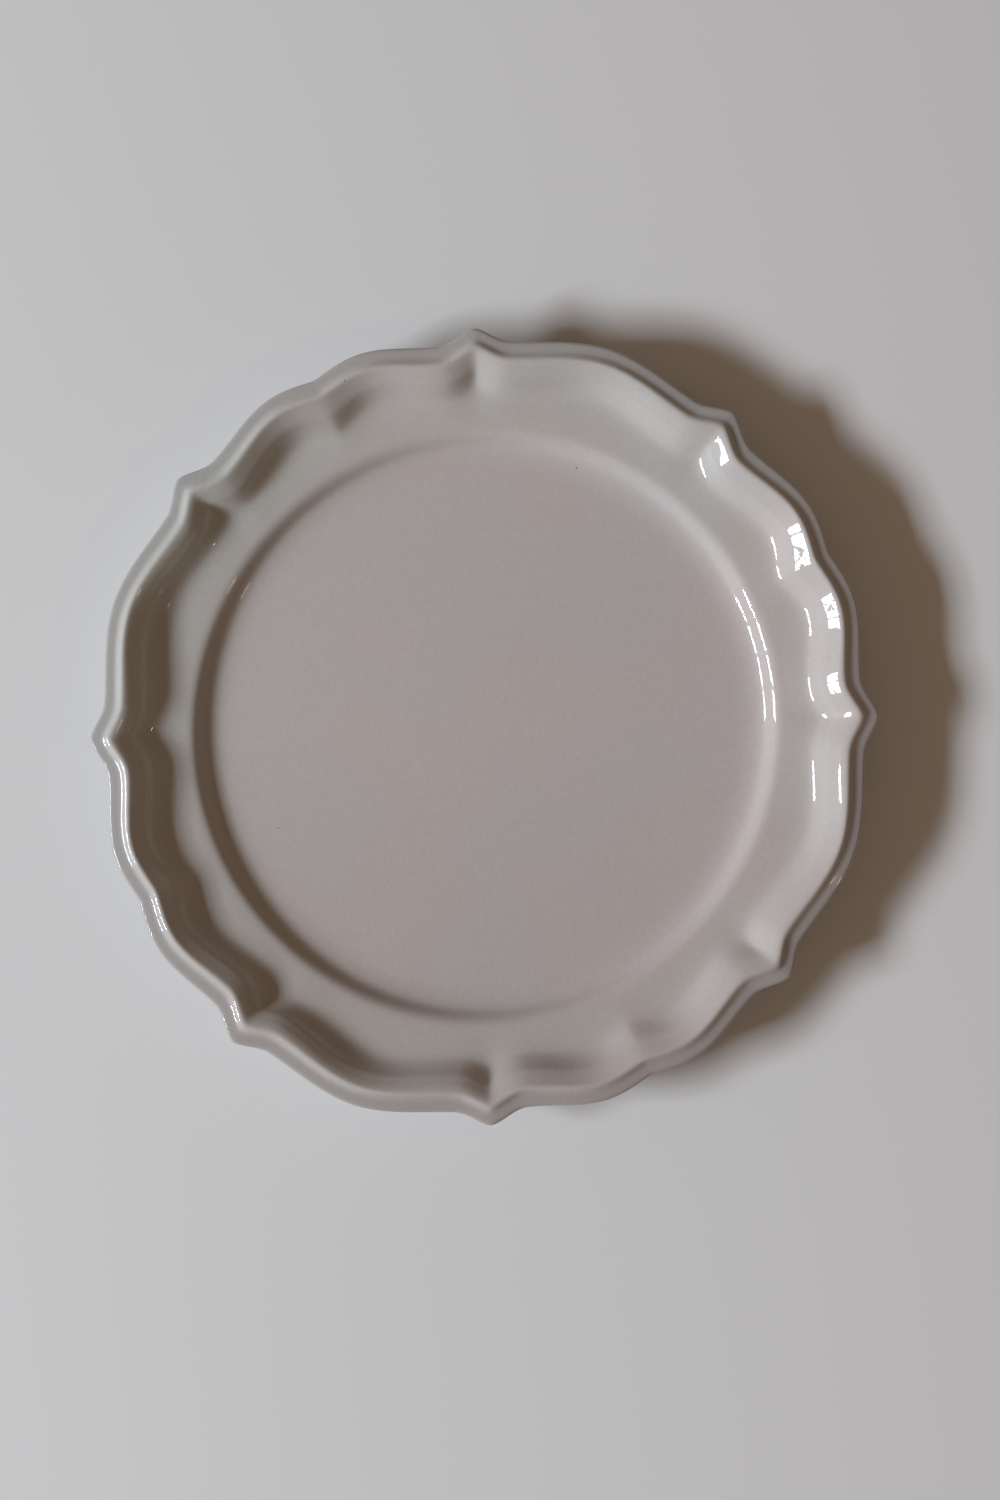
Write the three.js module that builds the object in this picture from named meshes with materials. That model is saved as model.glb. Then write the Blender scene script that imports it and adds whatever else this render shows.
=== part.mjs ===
// A dinner plate with a scalloped, moulded rim: the fired clay body, the glaze over its face and
// its underside, and the glaze inside the foot ring.
// Millimetres, +Z up. The plate stands on z = 0, its centre is on the Z axis and a notch is on +X.
import * as THREE from "three";

// Driving dimensions
const overallDiameter = 270; // across two opposite cusps
const scallopDepth = 5.4; // from a cusp's tip in to the hollow beside it
const lipWidth = 6.7; // from the outer edge in to the crest of the bead
const lipThickness = 4.9; // from the ledge down to the lip's underside
const crestStep = 1.75; // the crest above the ledge
const wallRun = 11.9; // from the crest in to the foot of the wall
const wallDrop = 8.95; // from the crest down to the foot of the wall
const flangeRun = 10.1; // from the foot of the wall in to the well's shoulder
const flangeDrop = 1.5; // from the foot of the wall down to the well's shoulder
const wellRun = 18.8; // from the shoulder in to the flat floor
const wellDepth = 5.6; // from the shoulder down to the flat floor
const shellThickness = 4; // straight down through the wall, the flange and the well's side
const floorThickness = 3.4; // the floor inside the foot ring, glaze included
const footHeight = 2.6; // the foot ring below the floor's underside
const footWidth = 4.5; // across the foot ring
const footInset = 10.1; // from the shoulder in to the foot ring's outer face
const glazeThickness = 0.35; // fired glaze

// One repeat of the outline is a long arc of two lobes and a short arc of one, with a cusp between.
// Half a repeat has six marks, from the notch between the two lobes to the middle of the single
// lobe: degrees from the notch, and how far out as a share of the scallop depth.
const repeats = 4;
const repeatDegrees = 360 / repeats;
const notch = { degrees: 0, outShare: -0.213 };
const longLobe = { degrees: 7.4, outShare: 0.237 };
const hollowBeforeCusp = { degrees: 19.3, outShare: -0.441 };
const cusp = { degrees: 24.9, outShare: 0.556 };
const hollowAfterCusp = { degrees: 30.2, outShare: -0.285 };
const shortLobe = { degrees: repeatDegrees / 2, outShare: 0.357 };
const marks = [notch, longLobe, hollowBeforeCusp, cusp, hollowAfterCusp, shortLobe];
const cuspRoundDegrees = 0.8; // rounding of a cusp at the outer edge
const notchRoundDegrees = 0.5; // rounding of a notch at the outer edge
const stepsPerStretch = 2; // steps between two marks

// Places worked out from the driving dimensions
const meanRadius = overallDiameter / 2 - cusp.outShare * scallopDepth;
const crestRadius = meanRadius - lipWidth;
const wallFootRadius = crestRadius - wallRun;
const shoulderRadius = wallFootRadius - flangeRun;
const floorRadius = shoulderRadius - wellRun;
const footRadius = shoulderRadius - footInset;
const floorHeight = footHeight + floorThickness;
const shoulderHeight = floorHeight + wellDepth;
const wallFootHeight = shoulderHeight + flangeDrop;
const crestHeight = wallFootHeight + wallDrop;
const ledgeHeight = crestHeight - crestStep;

// The plate's section is a row of stations, each with a radius, a height and, in the moulding, how
// it follows the outline: eight shares for the lobes, the hollows, the notch, the cusp, the slope
// beside the notch, the slope beside the cusp, the cusp's rounding and the notch's rounding.
// Stations without these are round. Bare stations have no glaze.
function station(radius, height, lineShares, bare = false) {
  return { radius, height, lineShares, bare };
}

// Stations from a table of rows: a share of the run inwards from a place, a share of the drop
// below it, and the eight shares of the line
function moulded(rows, startRadius, run, startHeight, drop) {
  return rows.map(([inward, down, ...lineShares]) =>
    station(startRadius - inward * run, startHeight - down * drop, lineShares),
  );
}

// Round stations from rows of two shares, in the same way
function roundStations(rows, startRadius, run, startHeight, drop) {
  return rows.map(([inward, down]) =>
    station(startRadius - inward * run, startHeight - down * drop, null),
  );
}

// The outer edge and its round corner, in shares of the lip's thickness
const edgeStationShares = [
  [-0.016, 0.41, 1, 1, 1, 1.06, 1.35, 0.66, 1, 1],
  [-0.016, 0.15, 1, 1, 1, 1.06, 1.35, 0.66, 1, 1],
  [0.031, 0.06, 1, 1, 1, 1.06, 1.35, 0.66, 1, 1],
];
const edge = moulded(edgeStationShares, meanRadius, lipThickness, ledgeHeight, lipThickness);

// The flat ledge, then the bead up to its crest: shares of the lip's width, and of the step up
const lipStationShares = [
  [0.16, 1.06, 1, 1, 1, 1.06, 1.35, 0.66, 1, 1],
  [0.34, 0.99, 1, 1, 1, 1.06, 1.25, 0.75, 0.9, 1],
  [0.49, 0.94, 1.01, 1.01, 1, 1.06, 1.2, 0.9, 0.75, 1],
  [0.64, 0.77, 1.04, 1.04, 1, 1.06, 1.1, 1.1, 0.75, 0.8],
  [0.79, 0.23, 1.06, 1.06, 0.95, 1.05, 1.1, 1.15, 0.6, 0.8],
  [0.93, 0.02, 1.08, 1.08, 0.95, 1.03, 1.1, 1.2, 0.6, 0.8],
];
const lip = moulded(lipStationShares, meanRadius, lipWidth, crestHeight, crestStep);

// The crest and the inner wall down to its foot
const wallStationShares = [
  [0.04, 0, 1.12, 1.12, 0.95, 0.98, 1.1, 1.25, 0.5, 0.8],
  [0.13, 0.06, 1.17, 1.16, 1, 0.92, 1.1, 1.35, 0.4, 0.8],
  [0.24, 0.155, 1.22, 1.2, 1.3, 0.86, 1.1, 1.4, 0.3, 0.7],
  [0.39, 0.275, 1.23, 1.2, 1.75, 0.86, 1.1, 1.4, 0.3, 0.6],
  [0.53, 0.445, 1.3, 1.2, 2.15, 0.85, 1.1, 1.3, 0.25, 0.7],
  [0.65, 0.64, 1.35, 1.18, 2.2, 0.87, 1.1, 1.25, 0.25, 0.8],
  [0.82, 0.85, 1.4, 1.1, 2.15, 0.92, 1.1, 1.2, 0.25, 1],
  [1, 1, 1.42, 1, 2.05, 0.97, 0.9, 1.15, 0.25, 1.4],
];
const wall = moulded(wallStationShares, crestRadius, wallRun, crestHeight, wallDrop);

// The flange, where the outline dies away
const flangeStationShares = [
  [0.3, 0.44, 1.3, 0.95, 1.8, 1, 0.7, 1.2, 0.3, 2],
  [0.66, 0.74, 0.7, 0.6, 0.9, 0.65, 0.5, 1.5, 0.4, 2.4],
];
const flange = moulded(flangeStationShares, wallFootRadius, flangeRun, wallFootHeight, flangeDrop);

// The well's round shoulder and side, down to the flat floor
const wellStationShares = [
  [0, 0],
  [0.155, 0.055],
  [0.27, 0.34],
  [0.365, 0.66],
  [0.485, 0.84],
  [0.7, 0.965],
  [1, 1],
];
const well = roundStations(wellStationShares, shoulderRadius, wellRun, shoulderHeight, wellDepth);
const middleShare = 0.47; // the innermost ring, as a share of the flat floor's radius
const middle = station(middleShare * floorRadius, floorHeight, null);

// The underside of the lip
const lipUnderShares = [
  [0.06, 0.88, 1, 1, 1, 1.06, 1.35, 0.66, 1, 1],
  [0.67, 1.02, 1, 1, 1, 1.06, 1.35, 0.66, 1, 1],
];
const lipUnder = moulded(lipUnderShares, meanRadius, lipWidth, ledgeHeight, lipThickness);

// Below the wall, the flange and the well's side, one shell thickness down
const wallUnderShares = [
  [0.15, 0.385, 1, 1, 1, 1, 1.1, 0.66, 1.2, 1],
  [0.445, 0.61, 1.1, 1.1, 1.1, 1, 1, 0.7, 1.2, 1],
  [0.78, 0.875, 1.1, 1.1, 1.1, 1, 0.8, 0.8, 1.2, 1],
];
const flangeUnderShares = [[0.45, 0.5, 0.7, 0.7, 0.7, 0.6, 0.6, 0.8, 1.2, 1]];
const wellUnderShares = [
  [0.015, 0.075],
  [0.2, 0.395],
  [0.36, 0.82],
];
const shellTop = crestHeight - shellThickness;
const shellFoot = wallFootHeight - shellThickness;
const shellShoulder = shoulderHeight - shellThickness;
const shellUnder = [
  ...moulded(wallUnderShares, crestRadius, wallRun, shellTop, wallDrop),
  ...moulded(flangeUnderShares, wallFootRadius, flangeRun, shellFoot, flangeDrop),
  ...roundStations(wellUnderShares, shoulderRadius, wellRun, shellShoulder, wellDepth),
];

// The foot ring and the recess inside it: in from the ring's outer face as a share of its width, up
// as a share of its height, and whether the clay is bare
const footStationShares = [
  [-0.18, 0.46, true],
  [0, 0, true],
  [0.2, 0, true],
  [0.8, 0, true],
  [1, 0, true],
  [1.16, 0.38, true],
  [1.54, 0.92, false],
  [4, 1, false],
];
const foot = footStationShares.map(([inward, up, bare]) =>
  station(footRadius - inward * footWidth, up * footHeight, null, bare),
);

// The finished surface from the middle of the well over the edge and back to the middle below
const face = [...edge, ...lip, ...wall, ...flange, ...well, middle].reverse();
const finished = [...face, ...lipUnder, ...shellUnder, ...foot];

// The clay's own surface, one glaze thickness into the plate, square to the section
const clay = finished.map((own, i) => {
  const before = finished[Math.max(i - 1, 0)];
  const after = finished[Math.min(i + 1, finished.length - 1)];
  const along = new THREE.Vector2(after.radius - before.radius, after.height - before.height);
  along.normalize();
  const depth = own.bare ? 0 : glazeThickness;
  return { ...own, radius: own.radius + along.y * depth, height: own.height - along.x * depth };
});

// How far out a station's line runs, at an angle from the notch. A cubic curve leads from mark to
// mark, level at the lobes and the hollows, and the tips of the cusp and the notch are rounded.
function reachAt(degrees, lineShares) {
  const [lobes, hollows, notchOut, cuspOut, notchSlope, cuspSlope, cuspRound, notchRound] =
    lineShares;
  const atNotch = notchOut * notch.outShare;
  const atLongLobe = lobes * longLobe.outShare;
  const atHollowBefore = hollows * hollowBeforeCusp.outShare;
  const atCusp = cuspOut * cusp.outShare;
  const atHollowAfter = hollows * hollowAfterCusp.outShare;
  const atShortLobe = lobes * shortLobe.outShare;
  const leaveNotch = notchSlope * (atLongLobe - atNotch);
  const reachCusp = cuspSlope * (atCusp - atHollowBefore);
  const leaveCusp = cuspSlope * (atHollowAfter - atCusp);
  const stretches = [
    [atNotch, atLongLobe, leaveNotch, 0],
    [atLongLobe, atHollowBefore, 0, 0],
    [atHollowBefore, atCusp, 0, reachCusp],
    [atCusp, atHollowAfter, leaveCusp, 0],
    [atHollowAfter, atShortLobe, 0, 0],
  ];
  const fromNotch = Math.hypot(degrees, notchRound * notchRoundDegrees);
  const place = Math.min(fromNotch, shortLobe.degrees);
  const passed = marks.findLastIndex((mark) => mark.degrees <= place);
  const i = Math.min(passed, stretches.length - 1);
  const share = THREE.MathUtils.inverseLerp(marks[i].degrees, marks[i + 1].degrees, place);
  const [from, to, slopeFrom, slopeTo] = stretches[i];
  const curve = new THREE.CubicBezierCurve(
    new THREE.Vector2(0, from),
    new THREE.Vector2(0, from + slopeFrom / 3),
    new THREE.Vector2(0, to - slopeTo / 3),
    new THREE.Vector2(0, to),
  );
  const rise = reachCusp / (cusp.degrees - hollowBeforeCusp.degrees);
  const fall = leaveCusp / (hollowAfterCusp.degrees - cusp.degrees);
  const fromCusp = Math.abs(place - cusp.degrees);
  const roundedBy = Math.hypot(fromCusp, cuspRound * cuspRoundDegrees) - fromCusp;
  const out = curve.getPoint(share).y - ((rise - fall) / 2) * roundedBy;
  return out * scallopDepth;
}

// Degrees of the steps in one repeat, from a notch to the next
const halfSteps = marks.slice(0, -1).flatMap(({ degrees }, i) =>
  Array.from({ length: stepsPerStretch }, (_, step) =>
    THREE.MathUtils.lerp(degrees, marks[i + 1].degrees, step / stepsPerStretch),
  ),
);
const mirroredSteps = halfSteps.slice(1).map((degrees) => repeatDegrees - degrees);
const repeatSteps = [...halfSteps, shortLobe.degrees, ...mirroredSteps.reverse()];

// Every point of a station's ring, counter-clockwise from the notch on +X
function controlRing({ radius, height, lineShares }) {
  const reaches = repeatSteps.map((degrees) =>
    lineShares ? reachAt(Math.min(degrees, repeatDegrees - degrees), lineShares) : 0,
  );
  return Array.from({ length: repeats }, (_, turn) =>
    repeatSteps.map((degrees, i) => {
      const angle = THREE.MathUtils.degToRad(degrees + turn * repeatDegrees);
      const reach = radius + reaches[i];
      return new THREE.Vector3(reach * Math.cos(angle), reach * Math.sin(angle), height);
    }),
  ).flat();
}

// Rings on the smooth surface that a section's stations guide: one part of each neighbour to four
// of the station's own, as in a cubic B-spline
function surfaceRings(section) {
  const controls = section.map(controlRing);
  return controls.map((own, i) => {
    const before = controls[Math.max(i - 1, 0)];
    const after = controls[Math.min(i + 1, controls.length - 1)];
    return own.map((point, j) =>
      new THREE.Vector3()
        .addScaledVector(point, 4)
        .add(before[j])
        .add(after[j])
        .divideScalar(6),
    );
  });
}

// Two triangles for four corners in order, cut along the shorter diagonal
function splitQuad(points, a, b, c, d) {
  const cutFromA = points[a].distanceTo(points[c]) < points[b].distanceTo(points[d]);
  return cutFromA ? [a, b, c, a, c, d] : [a, b, d, b, c, d];
}

// A closed body from rings in order, between a point on the axis before them and one after them
function closedBody(startHeight, rings, endHeight) {
  const perRing = rings[0].length;
  const points = [
    new THREE.Vector3(0, 0, startHeight),
    ...rings.flat(),
    new THREE.Vector3(0, 0, endHeight),
  ];
  const last = points.length - 1;
  const triangles = [];
  for (let j = 0; j < perRing; j += 1) {
    const next = (j + 1) % perRing;
    triangles.push(0, 1 + j, 1 + next);
    for (let i = 0; i + 1 < rings.length; i += 1) {
      const near = 1 + i * perRing;
      const far = near + perRing;
      triangles.push(...splitQuad(points, near + j, far + j, far + next, near + next));
    }
    const end = last - perRing;
    triangles.push(end + j, last, end + next);
  }
  const geometry = new THREE.BufferGeometry().setFromPoints(points);
  geometry.setIndex(triangles);
  geometry.computeVertexNormals();
  return geometry;
}

function piece(name, geometry, material) {
  const mesh = new THREE.Mesh(geometry, material);
  mesh.name = name;
  return mesh;
}

const clayMaterial = new THREE.MeshStandardMaterial({
  color: 0xcdbfae,
  roughness: 0.9,
  metalness: 0,
});
const glazeMaterial = new THREE.MeshStandardMaterial({
  color: 0xc6bfb9,
  roughness: 0.15,
  metalness: 0,
});

// The glaze thins out to nothing where the finished surface first meets the clay's, on both sides
// of the foot ring
const finishedRings = surfaceRings(finished);
const clayRings = surfaceRings(clay);
const meets = finishedRings.map(([point], i) => point.equals(clayRings[i][0]));
const outerEnd = meets.indexOf(true);
const innerEnd = meets.lastIndexOf(true);
const clayFloorHeight = floorHeight - glazeThickness;
const clayRecessHeight = footHeight + glazeThickness;

const clayBody = closedBody(clayFloorHeight, clayRings, clayRecessHeight);

const coatRings = [
  ...finishedRings.filter((_, i) => i <= outerEnd),
  ...clayRings.filter((_, i) => i < outerEnd).reverse(),
];
const glazeCoat = closedBody(floorHeight, coatRings, clayFloorHeight);

const baseRings = [
  ...clayRings.filter((_, i) => i >= innerEnd).reverse(),
  ...finishedRings.filter((_, i) => i > innerEnd),
];
const baseGlaze = closedBody(clayRecessHeight, baseRings, footHeight);

const plate = new THREE.Group();
plate.add(
  piece("clay_body", clayBody, clayMaterial),
  piece("glaze_coat", glazeCoat, glazeMaterial),
  piece("base_glaze", baseGlaze, glazeMaterial),
);

export default plate;
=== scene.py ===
"""Looks of the flat plate: a glazed plate with a scalloped, moulded rim, on a bare foot ring."""
import math

import bpy
import numpy as np
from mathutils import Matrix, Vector


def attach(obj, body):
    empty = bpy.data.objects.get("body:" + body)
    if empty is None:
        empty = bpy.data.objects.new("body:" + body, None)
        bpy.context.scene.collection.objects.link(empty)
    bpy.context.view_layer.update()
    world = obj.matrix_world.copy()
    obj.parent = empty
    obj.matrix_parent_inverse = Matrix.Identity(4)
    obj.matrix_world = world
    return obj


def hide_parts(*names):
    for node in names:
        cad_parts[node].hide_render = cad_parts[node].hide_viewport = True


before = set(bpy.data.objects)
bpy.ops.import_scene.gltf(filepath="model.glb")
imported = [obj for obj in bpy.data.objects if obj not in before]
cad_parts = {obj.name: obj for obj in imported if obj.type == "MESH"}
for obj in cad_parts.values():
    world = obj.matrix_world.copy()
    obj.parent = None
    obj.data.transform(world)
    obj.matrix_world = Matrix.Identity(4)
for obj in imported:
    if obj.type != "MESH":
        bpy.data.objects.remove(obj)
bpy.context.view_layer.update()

# Sizes are in millimetres, as in the part's source, unless a comment says metres
MM = 0.001
MEAN_RADIUS = 131.75
GLAZE = 0.35

# The rim's line over an eighth of a turn, from a notch to the middle of a short lobe: angle in degrees and
# reach past the mean radius. It is mirrored at both ends and repeated round the plate.
NOTCH, LONG_LOBE, HOLLOW_BEFORE, CUSP, HOLLOW_AFTER, SHORT_LOBE = range(6)
KEY_ANGLES = (0.0, 7.36, 19.33, 24.89, 30.22, 45.0)
KEY_REACH = (-1.15, 1.28, -2.38, 3.00, -1.54, 1.93)
REPEATS = 4

# How far each ring of the moulding follows that line: its strength at the six key angles, then steepness
# beside the notch and beside the cusps, and rounding of the cusps and of the notch in degrees
EDGE_LINE = (1.00, 1.06, 0.97, 1.10, 0.97, 1.06), (1.35, 0.85, 0.6, 0.5)
LEDGE_LINE = (1.00, 1.06, 0.97, 1.10, 0.97, 1.06), (1.25, 0.90, 0.6, 0.5)

# Rings of the face from the edge inwards: distance in from the edge line, height, and how it follows the line
FACE = (
    (-0.05, 17.4, *EDGE_LINE),
    (-0.13, 18.6, *EDGE_LINE),
    (-0.07, 19.37, *EDGE_LINE),
    (0.12, 19.86, *EDGE_LINE),
    (0.50, 20.25, *EDGE_LINE),
    (1.12, 20.46, *EDGE_LINE),
    (2.10, 20.61, *LEDGE_LINE),
    (3.05, 20.76, (1.00, 1.06, 1.03, 1.08, 1.00, 1.06), (1.2, 1.00, 0.6, 0.5)),
    (3.85, 21.02, (1.00, 1.06, 1.08, 1.06, 1.04, 1.06), (1.1, 1.10, 0.7, 0.6)),
    (4.65, 21.58, (1.00, 1.06, 1.12, 1.05, 1.04, 1.06), (1.1, 1.10, 0.7, 0.6)),
    (5.40, 22.12, (0.95, 1.06, 1.12, 1.03, 1.06, 1.06), (1.1, 1.15, 0.7, 0.7)),
    (6.08, 22.36, (0.95, 1.08, 1.14, 1.00, 1.08, 1.08), (1.1, 1.20, 0.8, 0.8)),
    (6.82, 22.22, (0.95, 1.12, 1.16, 0.96, 1.15, 1.12), (1.1, 1.30, 0.8, 1.0)),
    (7.65, 21.72, (1.00, 1.17, 1.18, 0.89, 1.30, 1.10), (1.1, 1.45, 0.8, 1.1)),
    (8.65, 21.06, (1.05, 1.20, 1.20, 0.85, 1.36, 1.10), (1.1, 1.55, 0.8, 1.1)),
    (10.05, 20.10, (1.10, 1.22, 1.20, 0.88, 1.20, 1.22), (1.1, 1.65, 0.8, 1.0)),
    (11.55, 19.10, (1.25, 1.25, 1.20, 0.94, 1.08, 1.33), (1.1, 1.75, 0.8, 0.9)),
    (12.75, 18.05, (1.60, 1.30, 1.19, 0.97, 1.06, 1.38), (1.1, 1.85, 0.8, 0.8)),
    (14.15, 16.40, (2.05, 1.35, 1.15, 1.00, 1.04, 1.42), (1.1, 1.95, 0.8, 0.8)),
    (16.25, 14.45, (2.30, 1.40, 1.05, 1.00, 1.00, 1.46), (1.1, 2.10, 0.9, 0.9)),
    (18.35, 13.10, (2.10, 1.42, 0.90, 0.95, 0.90, 1.45), (0.9, 2.20, 1.0, 1.2)),
    (21.35, 12.45, (1.80, 1.30, 0.80, 0.85, 0.80, 1.30), (0.7, 2.20, 1.2, 1.6)),
    (25.05, 12.00, (0.90, 0.70, 0.50, 0.50, 0.50, 0.70), (0.5, 2.00, 1.5, 2.0)),
)
# Rings of FACE between which the ledge's darker tint comes in fully, how many rings of UNDER it takes to fade
# out below, and the name of the value on the mesh that says how strongly it is tinted
LEDGE_RING, BEAD_RING = 7, 10
LEDGE_TINT_UNDER_RINGS = 3
RIM_NAME = "rim"

# Round rings of the face from the flange in to the middle of the well: radius and height
WELL = (
    (103.3, 11.62), (100.4, 11.3), (98.2, 9.7), (96.4, 7.9), (94.2, 6.9), (90.2, 6.2), (84.5, 6.0),
    (40.0, 6.0), (0.0, 6.0),
)

# Rings of the underside from the edge inwards, then round ones over the foot ring to the middle
UNDER = (
    (0.4, 16.0, *EDGE_LINE),
    (1.6, 15.5, *EDGE_LINE),
    (4.5, 15.3, *EDGE_LINE),
    (8.5, 14.6, (1.00, 1.00, 1.00, 1.00, 1.00, 1.00), (1.1, 0.66, 1.0, 0.5)),
    (12.0, 12.6, (1.10, 1.10, 1.10, 1.00, 1.10, 1.10), (1.0, 0.7, 1.0, 0.5)),
    (16.0, 10.2, (1.10, 1.10, 1.10, 1.00, 1.10, 1.10), (0.8, 0.8, 1.0, 0.5)),
    (20.0, 8.8, (1.00, 1.00, 1.00, 0.80, 1.00, 1.00), (0.7, 0.8, 1.0, 0.5)),
    (26.0, 8.0, (0.50, 0.50, 0.50, 0.50, 0.50, 0.50), (0.5, 0.8, 1.0, 0.5)),
)
FOOT = (
    (103.0, 7.2), (99.5, 5.4), (96.5, 3.0), (94.0, 1.2), (93.2, 0.0), (92.3, 0.0), (89.6, 0.0), (88.7, 0.0),
    (88.0, 1.0), (86.5, 2.4), (82.0, 2.6), (40.0, 2.6), (0.0, 2.6),
)
# Rings of FOOT between which the clay is left bare
BARE_FROM, BARE_TO = 3, 8

# Steps that each stretch of the rim's line is cut into, how much they crowd towards its sharper end, and
# whether that is the far one
STRETCH_STEPS = (9, 12, 14, 14, 13)
CROWDING = (1.5, 1.0, 1.7, 1.7, 1.0)
SHARP_END = (0, 0, 1, 0, 0)
# Steps from one ring to the next, on the finished face and everywhere else, and how many rings past the first
# of UNDER the fine ones reach
FINE_STEPS = 4
PLAIN_STEPS = 2
FINE_UNDER_RINGS = 2

# As fired: the plate is a hundredth out of round, longest along OVAL_AZIMUTH, and its well a little off
# centre. The radii are those between which each distortion comes in and, for the well, goes out again.
OVAL = 0.0097
OVAL_AZIMUTH = 37.1
OVAL_RADII = (30, 90)
WELL_SHIFT = 0.4
WELL_SHIFT_AZIMUTH = -6.4
WELL_SHIFT_RADII = (40, 80, 105, 115)
# The ledge outside the bead sags towards EDGE_SAG_AZIMUTH and lifts on the other side
LEDGE_WIDTH = 4.0
EDGE_SAG = 0.32
EDGE_SAG_AZIMUTH = -41.0
# The rim dips towards RIM_DIP_AZIMUTH, and the bead lies further in there
RIM_DIP = 0.60
RIM_DIP_AZIMUTH = 203.0
RIM_DIP_INSETS = (8.0, 13.0)
BEAD_SHIFT = 0.60
BEAD_SHIFT_INSETS = (1.5, 3.5, 8.0, 14.0)
# Waves that firing left round the rim: how many go round, their size, and the azimuth of a crest
RIM_WAVES = ((1, 0.22, 1), (3, 0.19, -30), (4, 0.31, -65), (5, 0.11, -1), (6, 0.15, -29))
RIM_WAVE_RADII = (105, 125)
# The same for a twist of the moulding round the plate, in degrees
TWISTS = ((1, 0.20, 60), (2, 0.37, -4))

# Viewing: the photograph looks straight down, turned by ROLL degrees, with the plate a little off its
# middle. The distance is in metres.
ROLL = 26.36
VIEW_DISTANCE = 1.2
RIM_HEIGHT = 18 * MM
VIEW_SHIFT = (5.42 * MM, -7.56 * MM)
LENS = 85
SENSOR_WIDTH = 36

# Azimuth towards which the glaze drifts from a pinkish to a cooler grey, the one towards which painted shade
# darkens it where the light falls off, and the shares of the way across the plate between which each does
DRIFT_AZIMUTH = 124.0
PAINTED_SHADE_AZIMUTH = 243.6
DRIFT_SHARES = (0.0, 1.0)
PAINTED_SHADE_SHARES = (0.5, 1.0)
# Iron specks in the glaze: where they are, in millimetres from the middle, and how wide
SPECKS = ((67.8, 65.7), (-78.4, 0.6), (9.8, 125.8))
SPECK_WIDTH = 0.45

# Shares of the mean radius between which the glaze takes on the flange's tint
FLANGE_SHARES = (0.68, 0.82)
# Height in metres of the glaze's faint ripples and of the clay's grain
RIPPLE_HEIGHT = 0.00006
GRAIN_HEIGHT = 0.00008
# Noise textures: waves to the metre, detail, and a seed that sets each apart from the others
CLOUD_NOISE = (14, 3, 1.3)
FLECK_NOISE = (700, 2, 4.1)
RIPPLE_NOISE = (60, 1, 2.2)
CLAY_NOISE = (60, 4, 0.7)
CLAY_GRAIN_NOISE = (1800, 2, 5.9)
CLAY_BUMP_NOISE = (1500, 3, 3.1)
# Values of a noise between which it goes from one colour to the other, and the same for the clay's grains
NOISE_ENDS = (0.3, 0.7)
GRAIN_ENDS = (0.35, 0.65)

# Colours. Tints, flecks and grains multiply the colour under them.
WHITE = (1.0, 1.0, 1.0)
CLOUDS = (0.585, 0.507, 0.480), (0.552, 0.511, 0.488)
DRIFT_TINTS = (1.0, 0.975, 0.98), (0.985, 1.03, 1.02)
# Painted shade: the glaze is made darker towards PAINTED_SHADE_AZIMUTH, where the light falls off
PAINTED_SHADE_TINT = (0.92, 0.89, 0.875)
FLANGE_TINT = (0.965, 1.01, 0.99)
LEDGE_TINT = (0.83, 0.835, 0.85)
FLECKS = (0.97, 0.97, 0.97), (1.03, 1.03, 1.03)
SPECK_COLOUR = (0.09, 0.06, 0.05)
CLAY = (0.55, 0.47, 0.38), (0.66, 0.58, 0.49)
CLAY_GRAINS = (0.86, 0.86, 0.86), (1.06, 1.06, 1.06)
FLOOR_COLOUR = (0.8, 0.8, 0.785)
# Half the floor's width in metres
FLOOR_HALF = 12.0

# Light: where it comes from, in degrees, and its size and distance in metres
LIGHT_AZIMUTH = 166.9
LIGHT_ELEVATION = 29.5
LIGHT_DISTANCE = 3.2
LIGHT_WIDTH = 1.34
LIGHT_HEIGHT = 0.53
LIGHT_WATTS = 114
LIGHT_COLOUR = (0.83, 0.9, 1.0)
# Its panes, and the share of a pane that the bars between them take
LIGHT_COLUMNS = 4
LIGHT_ROWS = 3
BAR_SHARE = 0.16
# A small lamp that makes the warm glints, in the same units
LAMP_AZIMUTH = 304.6
LAMP_ELEVATION = 46.0
LAMP_DISTANCE = 2.5
LAMP_WIDTH = 0.10
LAMP_WATTS = 1.1
LAMP_COLOUR = (1.0, 0.74, 0.48)
# The room's own dim light
ROOM_COLOUR = (1.33, 0.94, 0.675)
ROOM_STRENGTH = 0.12


def hermite(u, start, end, slope_in, slope_out):
    """A cubic from start to end over u from 0 to 1, with the slopes at both ends."""
    return (
        start * (2 * u**3 - 3 * u**2 + 1) + slope_in * (u**3 - 2 * u**2 + u)
        + end * (3 * u**2 - 2 * u**3) + slope_out * (u**3 - u**2)
    )


def reach(angles, strengths, shape):
    """How far a ring that follows the line that way reaches past its mean radius at angles in degrees."""
    notch_slope, cusp_slope, cusp_round, notch_round = shape
    quarter = 360 / REPEATS
    phi = np.abs((angles + quarter / 2) % quarter - quarter / 2)
    phi = np.clip(np.hypot(phi, notch_round), 0, KEY_ANGLES[SHORT_LOBE])
    keys = np.array(KEY_REACH) * strengths
    rises, spans = np.diff(keys), np.diff(KEY_ANGLES)
    slopes_in = (notch_slope * rises[NOTCH], 0, 0, cusp_slope * rises[CUSP], 0)
    slopes_out = (0, 0, cusp_slope * rises[HOLLOW_BEFORE], 0, 0)
    out = np.zeros_like(phi)
    for i in range(len(rises)):
        here = (phi >= KEY_ANGLES[i]) & (phi <= KEY_ANGLES[i + 1] + 1e-9)
        u = (phi[here] - KEY_ANGLES[i]) / spans[i]
        out[here] = hermite(u, keys[i], keys[i + 1], slopes_in[i], slopes_out[i])
    steepness = (slopes_out[HOLLOW_BEFORE] / spans[HOLLOW_BEFORE] - slopes_in[CUSP] / spans[CUSP]) / 2
    past = phi - KEY_ANGLES[CUSP]
    return out - steepness * (np.hypot(past, cusp_round) - np.abs(past))


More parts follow.
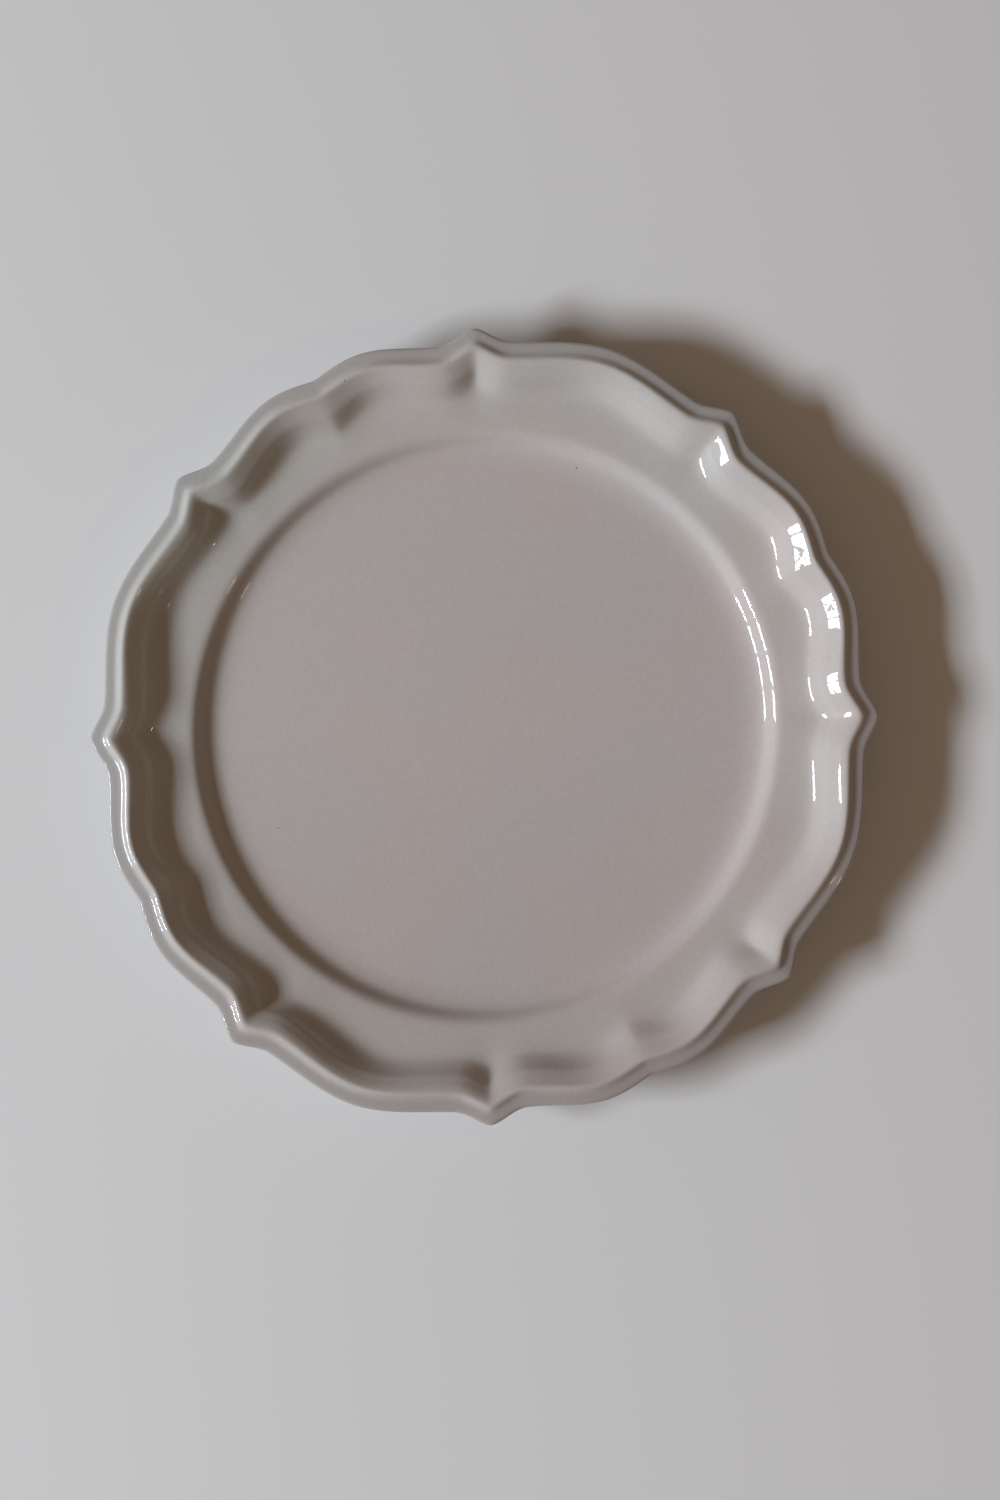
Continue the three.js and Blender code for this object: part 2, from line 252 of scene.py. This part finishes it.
def turn_angles():
    """Angles of one turn in degrees, closest together at the cusps and the notches."""
    half = [0.0]
    for i, steps in enumerate(STRETCH_STEPS):
        u = np.linspace(0, 1, steps + 1)[1:]
        eased = 1 - (1 - u) ** CROWDING[i] if SHARP_END[i] else u ** CROWDING[i]
        half += list(KEY_ANGLES[i] + eased * (KEY_ANGLES[i + 1] - KEY_ANGLES[i]))
    quarter = half + [2 * KEY_ANGLES[SHORT_LOBE] - a for a in half[-2:0:-1]]
    return np.array([a + 360 / REPEATS * n for n in range(REPEATS) for a in quarter])


def control_rings(angles):
    """Rings of (radius, height) at each angle, from the well's middle over the edge to the middle below."""
    sag = EDGE_SAG * np.cos(np.radians(angles - EDGE_SAG_AZIMUTH))
    dip = np.clip(np.cos(np.radians(angles - RIM_DIP_AZIMUTH)), 0, 1) ** 3

    def moulded(inset, height, strengths, shape):
        sagged = sag * np.clip(1 - inset / LEDGE_WIDTH, 0, 1)
        dipped = RIM_DIP * dip * np.interp(inset, RIM_DIP_INSETS, (1, 0))
        shifted = BEAD_SHIFT * dip * np.interp(inset, BEAD_SHIFT_INSETS, (0, 1, 1, 0))
        radius = MEAN_RADIUS - inset - shifted + reach(angles, strengths, shape)
        return np.stack([radius, height - sagged - dipped], 1)

    def round_ring(radius, height):
        return np.stack([np.full(len(angles), radius), np.full(len(angles), height)], 1)

    rings = [round_ring(*r) for r in reversed(WELL)] + [moulded(*r) for r in reversed(FACE)]
    rings += [moulded(*r) for r in UNDER] + [round_ring(*r) for r in FOOT]
    return np.array(rings)


def spline(rings, steps):
    """Points on the uniform cubic spline of the control rings, with that many steps from ring to ring."""
    first, last = 2 * rings[:1] - rings[1:2], 2 * rings[-1:] - rings[-2:-1]
    padded = np.concatenate([first, rings, last])
    out = []
    for i, count in enumerate(steps):
        a, b, c, d = padded[i:i + 4]
        for t in np.arange(count) / count:
            out.append((
                (1 - t) ** 3 * a + (3 * t**3 - 6 * t**2 + 4) * b
                + (-3 * t**3 + 3 * t**2 + 3 * t + 1) * c + t**3 * d
            ) / 6)
    return np.array(out + [rings[-1]])


def waves(angle, terms):
    """The sum of waves round the plate at each angle, from their counts, sizes and azimuths."""
    return sum(size * np.cos(count * (angle - math.radians(azimuth))) for count, size, azimuth in terms)


def as_fired(radius, angle):
    """Radii with the small distortion that the plate took in the kiln."""
    oval = OVAL * np.cos(2 * (angle - math.radians(OVAL_AZIMUTH))) * np.interp(radius, OVAL_RADII, (0, 1))
    shift = WELL_SHIFT * np.cos(angle - math.radians(WELL_SHIFT_AZIMUTH))
    shift = shift * np.interp(radius, WELL_SHIFT_RADII, (0, 1, 1, 0))
    return radius * (1 + oval) + shift + waves(angle, RIM_WAVES) * np.interp(radius, RIM_WAVE_RADII, (0, 1))


def skin(angles, steps):
    """Points in metres on the plate's finished surface, as rings by angles."""
    rings = spline(control_rings(angles), steps)
    turn = np.radians(angles)[None, :]
    radius = as_fired(rings[:, :, 0], turn)
    turn = turn + np.radians(waves(turn, TWISTS))
    return np.stack([radius * np.cos(turn), radius * np.sin(turn), rings[:, :, 1]], 2) * MM


def outward(points):
    """Unit normals of a skin, pointing out of the plate."""
    along = np.gradient(points, axis=0)
    around = np.roll(points, -1, axis=1) - np.roll(points, 1, axis=1)
    around[0], around[-1] = around[1], around[-2]
    normal = np.cross(along, around)
    length = np.linalg.norm(normal, axis=2, keepdims=True)
    return normal / np.maximum(length, 1e-12)


def loops_of(points):
    """Rings of points as a list, in which a ring without width is a single point."""
    pole = np.ptp(points[:, :, :2], axis=1).max(axis=1) < 1e-9
    return [ring[:1] if single else ring for ring, single in zip(points, pole)]


def mesh_piece(name, loops, material, node, rim=None):
    """Makes a closed piece from loops of points in order over its surface. A loop of one point is a pole.

    rim says for each loop how much it belongs to the rim, where the glaze is tinted darker.
    """
    faces, start = [], 0
    for ring, following in zip(loops, loops[1:]):
        n, after = max(len(ring), len(following)), start + len(ring)
        for j in range(n):
            k = (j + 1) % n
            corners = (start + j % len(ring), after + j % len(following),
                       after + k % len(following), start + k % len(ring))
            faces.append(tuple(dict.fromkeys(corners)))
        start = after
    mesh = bpy.data.meshes.new(name)
    mesh.from_pydata(np.concatenate(loops).tolist(), [], faces)
    mesh.shade_smooth()
    mesh.materials.append(material)
    if rim is not None:
        tinted = mesh.attributes.new(RIM_NAME, "FLOAT", "POINT")
        tinted.data.foreach_set("value", np.repeat(rim, [len(ring) for ring in loops]))
    piece = bpy.data.objects.new(name, mesh)
    bpy.context.scene.collection.objects.link(piece)
    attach(piece, "root")
    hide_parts(node)


def knot(ring, steps):
    """The row of a skin that the control ring of that number lies at."""
    return sum(steps[:ring])


def make_plate(glaze, clay):
    """Makes the fired clay, the glaze over face, rim and underside, and the glaze inside the foot ring."""
    angles = turn_angles()
    above = len(WELL) + len(FACE)
    bare_start = above + len(UNDER) + BARE_FROM
    bare_end = above + len(UNDER) + BARE_TO
    rings = above + len(UNDER) + len(FOOT)
    fine_end = above + FINE_UNDER_RINGS
    fine = [FINE_STEPS] * fine_end + [PLAIN_STEPS] * (rings - 1 - fine_end)
    plain = [PLAIN_STEPS] * (rings - 1)
    finished, under = skin(angles, fine), skin(angles, plain)
    first, last = knot(bare_start, plain), knot(bare_end, plain)
    depth = np.full(len(under), GLAZE * MM)
    depth[first:last + 1] = 0
    under = under - outward(under) * depth[:, None, None]
    under[0, :, :2] = under[-1, :, :2] = 0
    coat_end, base_start = knot(bare_start, fine), knot(bare_end, fine)
    mesh_piece("fired_clay", loops_of(under), clay, "clay_body")
    face = loops_of(finished[:coat_end + 1]) + loops_of(under[:first][::-1])
    ring_number = np.concatenate([np.arange(steps) / steps + i for i, steps in enumerate(fine)])
    bead, ledge = above - 1 - BEAD_RING, above - 1 - LEDGE_RING
    tint_places = (bead, ledge, above, above + LEDGE_TINT_UNDER_RINGS)
    rim = np.interp(ring_number[:coat_end + 1], tint_places, (0, 1, 1, 0))
    rim = np.concatenate([rim, np.zeros(len(face) - len(rim))])
    mesh_piece("glaze_over_face", face, glaze, "glaze_coat", rim)
    below = loops_of(finished[base_start:][::-1, ::-1]) + loops_of(under[last + 1:, ::-1])
    mesh_piece("glaze_inside_foot", below, glaze, "base_glaze")


def new_material(name):
    """A material with its node tree and its main shader."""
    material = bpy.data.materials.new(name)
    material.use_nodes = True
    tree = material.node_tree
    shader = tree.nodes["Principled BSDF"]
    return material, tree, shader


def noise(tree, scale, detail, seed):
    """A noise texture over the object, with scale in waves to the metre."""
    place = tree.nodes.new("ShaderNodeTexCoord")
    shift = tree.nodes.new("ShaderNodeMapping")
    shift.inputs["Location"].default_value = (seed, 2 * seed, 3 * seed)
    texture = tree.nodes.new("ShaderNodeTexNoise")
    texture.inputs["Scale"].default_value = scale
    texture.inputs["Detail"].default_value = detail
    tree.links.new(place.outputs["Object"], shift.inputs["Vector"])
    tree.links.new(shift.outputs["Vector"], texture.inputs["Vector"])
    return texture.outputs["Fac"]


def ramp(tree, value, places, colours):
    """A colour ramp read at value, from one colour at the first place to another at the second."""
    node = tree.nodes.new("ShaderNodeValToRGB")
    for element, place, colour in zip(node.color_ramp.elements, places, colours):
        element.position = place
        element.color = (*colour, 1)
    tree.links.new(value, node.inputs["Fac"])
    return node.outputs["Color"]


def mix(tree, factor, first, second, blend="MIX"):
    """Two colours mixed. The factor and the second colour may each be a socket or a value."""
    node = tree.nodes.new("ShaderNodeMix")
    node.data_type = "RGBA"
    node.blend_type = blend
    share, below, above = node.inputs[0], node.inputs[6], node.inputs[7]
    tree.links.new(first, below)
    if isinstance(factor, bpy.types.NodeSocket):
        tree.links.new(factor, share)
    else:
        share.default_value = factor
    if isinstance(second, bpy.types.NodeSocket):
        tree.links.new(second, above)
    else:
        above.default_value = (*second, 1)
    return node.outputs[2]


def tint(tree, colour, by):
    """A colour multiplied by another one, which may be a socket or a value."""
    return mix(tree, 1.0, colour, by, "MULTIPLY")


def across_plate(tree, azimuth):
    """A value that rises from 0 to 1 across the plate towards azimuth, in degrees."""
    place = tree.nodes.new("ShaderNodeTexCoord")
    turned = tree.nodes.new("ShaderNodeMapping")
    turned.inputs["Rotation"].default_value = (0, 0, math.radians(-azimuth))
    turned.inputs["Location"].default_value = (0.5, 0, 0)
    turned.inputs["Scale"].default_value = (0.5 / (MEAN_RADIUS * MM),) * 3
    apart = tree.nodes.new("ShaderNodeSeparateXYZ")
    tree.links.new(place.outputs["Object"], turned.inputs["Vector"])
    tree.links.new(turned.outputs["Vector"], apart.inputs["Vector"])
    return apart.outputs["X"]


def from_middle(tree):
    """The distance from the plate's middle, as a share of its mean radius."""
    place = tree.nodes.new("ShaderNodeTexCoord")
    share = tree.nodes.new("ShaderNodeMapping")
    share.inputs["Scale"].default_value = (1 / (MEAN_RADIUS * MM),) * 3
    length = tree.nodes.new("ShaderNodeVectorMath")
    length.operation = "LENGTH"
    tree.links.new(place.outputs["Object"], share.inputs["Vector"])
    tree.links.new(share.outputs["Vector"], length.inputs[0])
    return length.outputs["Value"]


def speck(tree, place):
    """A value that is 1 within half a speck's width of a place on the plate and 0 beyond it."""
    point = tree.nodes.new("ShaderNodeTexCoord")
    flat = tree.nodes.new("ShaderNodeVectorMath")
    flat.operation = "MULTIPLY"
    flat.inputs[1].default_value = (1, 1, 0)
    apart = tree.nodes.new("ShaderNodeVectorMath")
    apart.operation = "DISTANCE"
    apart.inputs[1].default_value = (place[0] * MM, place[1] * MM, 0)
    near = tree.nodes.new("ShaderNodeMath")
    near.operation = "LESS_THAN"
    near.inputs[1].default_value = SPECK_WIDTH / 2 * MM
    tree.links.new(point.outputs["Object"], flat.inputs[0])
    tree.links.new(flat.outputs["Vector"], apart.inputs[0])
    tree.links.new(apart.outputs["Value"], near.inputs[0])
    return near.outputs["Value"]


def bump(tree, height, distance):
    """A bump of that distance in metres."""
    node = tree.nodes.new("ShaderNodeBump")
    node.inputs["Distance"].default_value = distance
    tree.links.new(height, node.inputs["Height"])
    return node.outputs["Normal"]


def glaze_material():
    """A clear, glossy glaze over a pale grey ground, faintly clouded, with a few iron specks, and darkened
    towards one side by painted shade.
    """
    material, tree, shader = new_material("glaze")
    ground = ramp(tree, noise(tree, *CLOUD_NOISE), NOISE_ENDS, CLOUDS)
    ground = tint(tree, ground, ramp(tree, across_plate(tree, DRIFT_AZIMUTH), DRIFT_SHARES, DRIFT_TINTS))
    # Painted shade: darker across the plate towards PAINTED_SHADE_AZIMUTH, standing in for light that falls
    # off
    ground = tint(tree, ground, ramp(tree, across_plate(tree, PAINTED_SHADE_AZIMUTH), PAINTED_SHADE_SHARES, (WHITE, PAINTED_SHADE_TINT)))
    ground = tint(tree, ground, ramp(tree, from_middle(tree), FLANGE_SHARES, (WHITE, FLANGE_TINT)))
    # The ledge and the edge are tinted darker
    rim = tree.nodes.new("ShaderNodeAttribute")
    rim.attribute_name = RIM_NAME
    ground = mix(tree, rim.outputs["Fac"], ground, LEDGE_TINT, "MULTIPLY")
    ground = tint(tree, ground, ramp(tree, noise(tree, *FLECK_NOISE), NOISE_ENDS, FLECKS))
    for place in SPECKS:
        ground = mix(tree, speck(tree, place), ground, SPECK_COLOUR)
    tree.links.new(ground, shader.inputs["Base Color"])
    shader.inputs["Roughness"].default_value = 0.32
    shader.inputs["Specular IOR Level"].default_value = 0.05
    shader.inputs["Coat Weight"].default_value = 1.0
    shader.inputs["Coat Roughness"].default_value = 0.02
    shader.inputs["Coat IOR"].default_value = 1.36
    tree.links.new(bump(tree, noise(tree, *RIPPLE_NOISE), RIPPLE_HEIGHT), shader.inputs["Coat Normal"])
    return material


def clay_material():
    """Fired clay without glaze: warm, matte and finely grained."""
    material, tree, shader = new_material("bare_clay")
    body = ramp(tree, noise(tree, *CLAY_NOISE), NOISE_ENDS, CLAY)
    body = tint(tree, body, ramp(tree, noise(tree, *CLAY_GRAIN_NOISE), GRAIN_ENDS, CLAY_GRAINS))
    tree.links.new(body, shader.inputs["Base Color"])
    shader.inputs["Roughness"].default_value = 0.85
    tree.links.new(bump(tree, noise(tree, *CLAY_BUMP_NOISE), GRAIN_HEIGHT), shader.inputs["Normal"])
    return material


def make_floor():
    """Makes the plain pale floor that the plate stands on."""
    material, _, shader = new_material("floor")
    shader.inputs["Base Color"].default_value = (*FLOOR_COLOUR, 1)
    shader.inputs["Roughness"].default_value = 0.8
    corners = [(x * FLOOR_HALF, y * FLOOR_HALF, 0) for x, y in ((-1, -1), (1, -1), (1, 1), (-1, 1))]
    mesh = bpy.data.meshes.new("floor")
    mesh.from_pydata(corners, [], [(0, 1, 2, 3)])
    mesh.materials.append(material)
    floor = bpy.data.objects.new("floor", mesh)
    bpy.context.scene.collection.objects.link(floor)


def hang_light(name, azimuth, elevation, distance, offset, size, watts, colour):
    """Hangs a rectangular light facing the plate from azimuth and elevation in degrees, moved by offset."""
    azimuth, elevation = math.radians(azimuth), math.radians(elevation)
    way = Vector((
        math.cos(azimuth) * math.cos(elevation),
        math.sin(azimuth) * math.cos(elevation),
        math.sin(elevation),
    ))
    turn = (-way).to_track_quat("-Z", "Y")
    lamp = bpy.data.lights.new(name, "AREA")
    lamp.shape = "RECTANGLE"
    lamp.size, lamp.size_y = size
    lamp.energy = watts
    lamp.color = colour
    light = bpy.data.objects.new(name, lamp)
    light.location = way * distance + turn @ Vector((*offset, 0))
    light.rotation_euler = turn.to_euler()
    bpy.context.scene.collection.objects.link(light)


def make_light():
    """Makes a soft light from one side in panes like a window's, a small warm lamp and a dim room."""
    panes = LIGHT_COLUMNS * LIGHT_ROWS
    pane = (LIGHT_WIDTH / LIGHT_COLUMNS * (1 - BAR_SHARE), LIGHT_HEIGHT / LIGHT_ROWS * (1 - BAR_SHARE))
    for n in range(panes):
        column, row = n % LIGHT_COLUMNS, n // LIGHT_COLUMNS
        across = LIGHT_WIDTH * ((column + 0.5) / LIGHT_COLUMNS - 0.5)
        up = LIGHT_HEIGHT * ((row + 0.5) / LIGHT_ROWS - 0.5)
        hang_light(f"pane_{n}", LIGHT_AZIMUTH, LIGHT_ELEVATION, LIGHT_DISTANCE, (across, up), pane,
                   LIGHT_WATTS / panes, LIGHT_COLOUR)
    hang_light("lamp", LAMP_AZIMUTH, LAMP_ELEVATION, LAMP_DISTANCE, (0, 0), (LAMP_WIDTH, LAMP_WIDTH),
               LAMP_WATTS, LAMP_COLOUR)
    room = bpy.data.worlds.new("room")
    room.use_nodes = True
    background = room.node_tree.nodes["Background"]
    background.inputs["Color"].default_value = (*ROOM_COLOUR, 1)
    background.inputs["Strength"].default_value = ROOM_STRENGTH
    bpy.context.scene.world = room


def make_camera():
    """Makes the camera, straight above the plate and turned as the photograph is."""
    lens = bpy.data.cameras.new("camera")
    lens.lens = LENS
    lens.sensor_width = SENSOR_WIDTH
    camera = bpy.data.objects.new("camera", lens)
    turn = math.radians(-ROLL)
    x, y = VIEW_SHIFT
    camera.location = (
        x * math.cos(turn) - y * math.sin(turn),
        x * math.sin(turn) + y * math.cos(turn),
        RIM_HEIGHT + VIEW_DISTANCE,
    )
    camera.rotation_euler = (0, 0, turn)
    bpy.context.scene.collection.objects.link(camera)
    bpy.context.scene.camera = camera


make_plate(glaze_material(), clay_material())
make_floor()
make_light()
make_camera()
bpy.context.scene.view_settings.view_transform = "Standard"
